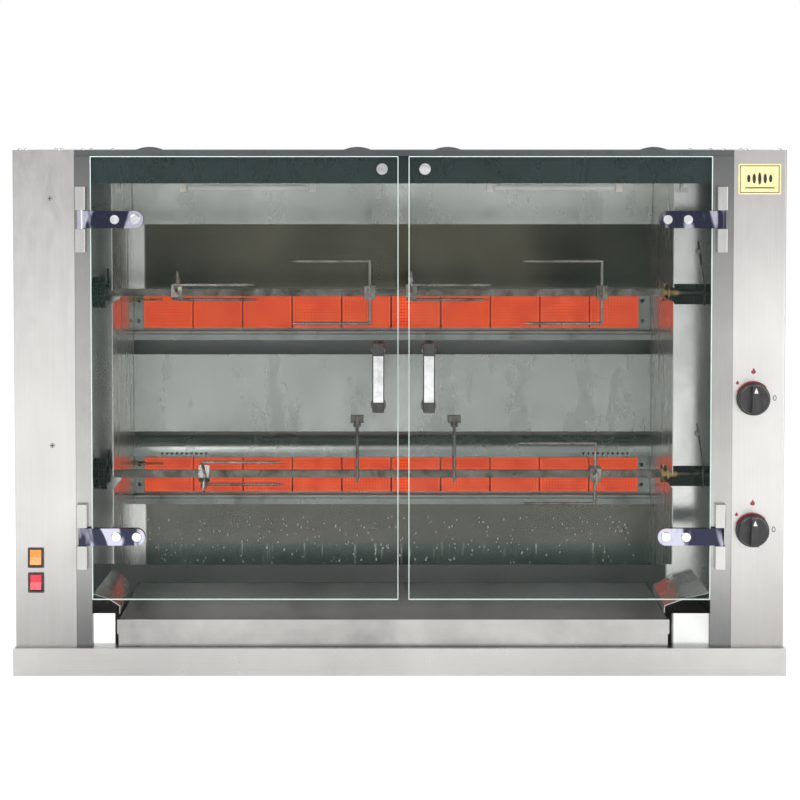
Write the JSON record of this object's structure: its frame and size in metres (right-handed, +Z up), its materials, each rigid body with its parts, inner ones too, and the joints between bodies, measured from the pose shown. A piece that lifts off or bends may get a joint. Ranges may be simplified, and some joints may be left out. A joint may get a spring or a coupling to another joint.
{
  "type": "rotisserie oven",
  "caption": "Steel counter-top gas rotisserie oven: twin driven spits with forks before ceramic burners, hinged glass doors, tap knobs, rocker switches and a sliding drip tray.",
  "frame": {"origin": "centre of the base pan's underside, where the oven rests on a counter", "axes": "+X to the right as seen from the front, +Y to the back (the doors face -Y), +Z up"},
  "size_m": [1.25, 0.5555, 0.855],
  "materials": {
    "casing_steel": "brushed",
    "liner_steel": "satin",
    "header_steel": "dark satin",
    "polished_steel": "polished",
    "spit_steel": "heat-darkened",
    "bush_brass": "worn",
    "glass": "clear",
    "tile_ceramic": "matte",
    "black_plastic": "matte",
    "amber_plastic": "translucent gloss",
    "red_plastic": "translucent gloss",
    "motor_paint": "satin",
    "black_iron": "oiled",
    "lamp_glass": "clear",
    "holder_ceramic": "matte",
    "badge_enamel": "satin",
    "pad_rubber": "matte",
    "aluminium": "cast"
  },
  "bodies": {
    "oven": {"base_pan": "casing_steel", "left_column_cover": "casing_steel", "right_column_cover": "casing_steel", "door_frames": "casing_steel", "top_cover": "casing_steel", "header_rail": "header_steel", "rear_panel": "casing_steel", "left_side_plate": "liner_steel", "right_side_plate": "liner_steel", "liner_panels": "liner_steel", "reflectors": "liner_steel", "drip_wings": "liner_steel", "burner_housings": "liner_steel", "burner_tiles": "tile_ceramic", "gas_taps": "aluminium", "gas_pipes": "bush_brass", "burner_jets_and_probes": "bush_brass", "cable_gland": "black_plastic", "gear_motor": "motor_paint", "drive_brackets": "casing_steel", "drive_chain": "black_iron", "hinge_blocks": "casing_steel", "door_magnets": "casing_steel", "knob_bezels": "black_plastic", "switch_housings": "black_plastic", "lamp_tubes": "lamp_glass", "lamp_holders": "holder_ceramic", "badge": "badge_enamel", "top_pads": "pad_rubber", "cover_screws": "polished_steel"},
    "left_door": {"left_door_glass": "glass", "left_door_straps": "polished_steel", "left_door_trim": "polished_steel", "left_door_handle": "black_plastic"},
    "right_door": {"right_door_glass": "glass", "right_door_straps": "polished_steel", "right_door_trim": "polished_steel", "right_door_handle": "black_plastic"},
    "upper_spit_group": {"upper_spit": "spit_steel", "upper_bush": "bush_brass", "upper_drive": "black_iron"},
    "lower_spit_group": {"lower_spit": "spit_steel", "lower_bush": "bush_brass", "lower_drive": "black_iron"},
    "motor_shaft": {"motor_sprocket": "black_iron"},
    "upper_tap_push": {"upper_tap_spindle": "casing_steel"},
    "lower_tap_push": {"lower_tap_spindle": "casing_steel"},
    "upper_tap_knob": {"upper_knob": "black_plastic"},
    "lower_tap_knob": {"lower_knob": "black_plastic"},
    "amber_switch": {"amber_rocker": "amber_plastic"},
    "red_switch": {"red_rocker": "red_plastic"},
    "upper_latch": {"upper_spit_latch": "spit_steel"},
    "lower_latch": {"lower_spit_latch": "spit_steel"},
    "tray": {"drip_tray": "casing_steel"},
    "upper_fork_1_body": {"upper_fork_1": "spit_steel"},
    "upper_fork_2_body": {"upper_fork_2": "spit_steel"},
    "upper_fork_3_body": {"upper_fork_3": "spit_steel"},
    "upper_fork_4_body": {"upper_fork_4": "spit_steel"},
    "lower_fork_1_body": {"lower_fork_1": "spit_steel"},
    "lower_fork_2_body": {"lower_fork_2": "spit_steel"}
  },
  "joints": [
    {"name": "left_door_hinge", "type": "hinge", "parent": "oven", "child": "left_door", "pos_m": [-0.5125, -0.243, 0.48], "axis": [0, 0, -1], "range_deg": [0, 120]},
    {"name": "right_door_hinge", "type": "hinge", "parent": "oven", "child": "right_door", "pos_m": [0.518, -0.243, 0.48], "axis": [0, 0, 1], "range_deg": [0, 120]},
    {"name": "upper_spit_turn", "type": "hinge", "parent": "oven", "child": "upper_spit_group", "pos_m": [0, -0.108, 0.6133], "axis": [1, 0, 0], "continuous": true},
    {"name": "lower_spit_turn", "type": "hinge", "parent": "oven", "child": "lower_spit_group", "pos_m": [0, -0.108, 0.3106], "axis": [1, 0, 0], "continuous": true},
    {"name": "motor_shaft_turn", "type": "hinge", "parent": "oven", "child": "motor_shaft", "pos_m": [-0.55, -0.023, 0.46195], "axis": [1, 0, 0], "continuous": true},
    {"name": "upper_fork_1_slide", "type": "slide", "parent": "upper_spit_group", "child": "upper_fork_1_body", "axis": [1, 0, 0], "range_m": [-0.035, 0.035]},
    {"name": "upper_fork_2_slide", "type": "slide", "parent": "upper_spit_group", "child": "upper_fork_2_body", "axis": [1, 0, 0], "range_m": [-0.035, 0.018]},
    {"name": "upper_fork_3_slide", "type": "slide", "parent": "upper_spit_group", "child": "upper_fork_3_body", "axis": [1, 0, 0], "range_m": [-0.018, 0.035]},
    {"name": "upper_fork_4_slide", "type": "slide", "parent": "upper_spit_group", "child": "upper_fork_4_body", "axis": [1, 0, 0], "range_m": [-0.035, 0.035]},
    {"name": "lower_fork_1_slide", "type": "slide", "parent": "lower_spit_group", "child": "lower_fork_1_body", "axis": [1, 0, 0], "range_m": [-0.035, 0.035]},
    {"name": "lower_fork_2_slide", "type": "slide", "parent": "lower_spit_group", "child": "lower_fork_2_body", "axis": [1, 0, 0], "range_m": [-0.035, 0.035]},
    {"name": "upper_tap_press", "type": "slide", "parent": "oven", "child": "upper_tap_push", "axis": [0, 1, 0], "range_m": [0, 0.003], "stiffness_N_per_m": 800, "springref_m": -0.002},
    {"name": "upper_knob_turn", "type": "hinge", "parent": "upper_tap_push", "child": "upper_tap_knob", "pos_m": [0.57, -0.248, 0.4495], "axis": [0, 1, 0], "range_deg": [-50, 90]},
    {"name": "lower_tap_press", "type": "slide", "parent": "oven", "child": "lower_tap_push", "axis": [0, 1, 0], "range_m": [0, 0.003], "stiffness_N_per_m": 800, "springref_m": -0.002},
    {"name": "lower_knob_turn", "type": "hinge", "parent": "lower_tap_push", "child": "lower_tap_knob", "pos_m": [0.57, -0.248, 0.236], "axis": [0, 1, 0], "range_deg": [-50, 90]},
    {"name": "amber_switch_rock", "type": "hinge", "parent": "oven", "child": "amber_switch", "pos_m": [-0.5884, -0.234, 0.191], "axis": [1, 0, 0], "range_deg": [0, 14]},
    {"name": "red_switch_rock", "type": "hinge", "parent": "oven", "child": "red_switch", "pos_m": [-0.5884, -0.234, 0.1505], "axis": [1, 0, 0], "range_deg": [0, 14]},
    {"name": "upper_latch_swing", "type": "hinge", "parent": "oven", "child": "upper_latch", "pos_m": [0.4945, -0.1275, 0.6823], "axis": [0, 1, 0], "range_deg": [0, 36]},
    {"name": "lower_latch_swing", "type": "hinge", "parent": "oven", "child": "lower_latch", "pos_m": [0.4945, -0.1275, 0.3796], "axis": [0, 1, 0], "range_deg": [0, 36]},
    {"name": "tray_slide", "type": "slide", "parent": "oven", "child": "tray", "axis": [0, -1, 0], "range_m": [0, 0.3]}
  ],
  "couplings": [
    {"joint": "lower_spit_turn", "follows": "upper_spit_turn", "ratio": 1},
    {"joint": "motor_shaft_turn", "follows": "upper_spit_turn", "ratio": 1.5}
  ]
}
